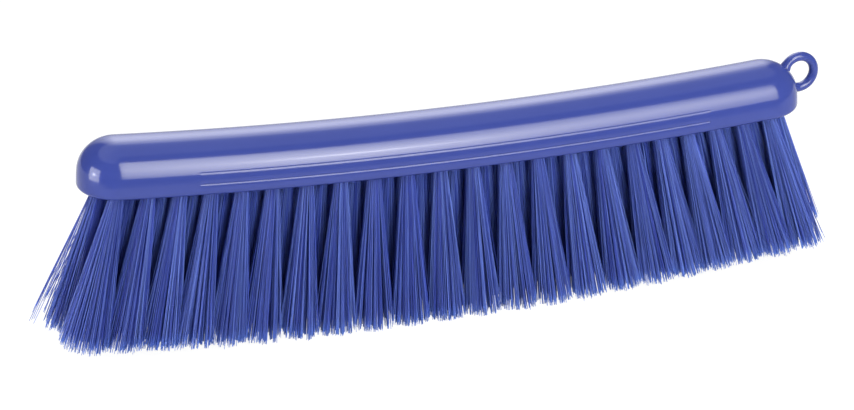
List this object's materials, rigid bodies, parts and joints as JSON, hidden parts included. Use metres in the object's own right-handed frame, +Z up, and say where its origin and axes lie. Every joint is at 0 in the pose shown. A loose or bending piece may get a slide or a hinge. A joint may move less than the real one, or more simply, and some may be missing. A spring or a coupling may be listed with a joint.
{
  "type": "flour brush",
  "caption": "Hand brush with a curved, round-ended moulded block, a hanging ring at one end, and fanned tufts of long soft bristle in staggered rows.",
  "frame": {"origin": "on the floor under the middle of the brush, which stands on the flat cut of its lowest bristle tips", "axes": "+X along the brush towards the hanging ring, +Z up from the bristle tips to the block, +Y across the brush to the back of the pictured view"},
  "size_m": [0.3627, 0.0506, 0.0974],
  "materials": {
    "moulded_plastic": "one piece injection moulded plastic, glossy with a soft orange peel, violet blue all through",
    "bristle": "fine soft polyester filament, satin, violet blue, ragged at the trimmed tips"
  },
  "bodies": {
    "root": {"block": "moulded_plastic", "tuft_front_01": "bristle", "tuft_front_02": "bristle", "tuft_front_03": "bristle", "tuft_front_04": "bristle", "tuft_front_05": "bristle", "tuft_front_06": "bristle", "tuft_front_07": "bristle", "tuft_front_08": "bristle", "tuft_front_09": "bristle", "tuft_front_10": "bristle", "tuft_front_11": "bristle", "tuft_front_12": "bristle", "tuft_front_13": "bristle", "tuft_front_14": "bristle", "tuft_front_15": "bristle", "tuft_front_16": "bristle", "tuft_front_17": "bristle", "tuft_front_18": "bristle", "tuft_front_19": "bristle", "tuft_front_20": "bristle", "tuft_front_21": "bristle", "tuft_front_22": "bristle", "middle_row": "bristle", "tuft_back_01": "bristle", "tuft_back_02": "bristle", "tuft_back_03": "bristle", "tuft_back_04": "bristle", "tuft_back_05": "bristle", "tuft_back_06": "bristle", "tuft_back_07": "bristle", "tuft_back_08": "bristle", "tuft_back_09": "bristle", "tuft_back_10": "bristle", "tuft_back_11": "bristle", "tuft_back_12": "bristle", "tuft_back_13": "bristle", "tuft_back_14": "bristle", "tuft_back_15": "bristle", "tuft_back_16": "bristle", "tuft_back_17": "bristle", "tuft_back_18": "bristle", "tuft_back_19": "bristle", "tuft_back_20": "bristle", "tuft_back_21": "bristle", "tuft_back_22": "bristle"}
  },
  "joints": []
}
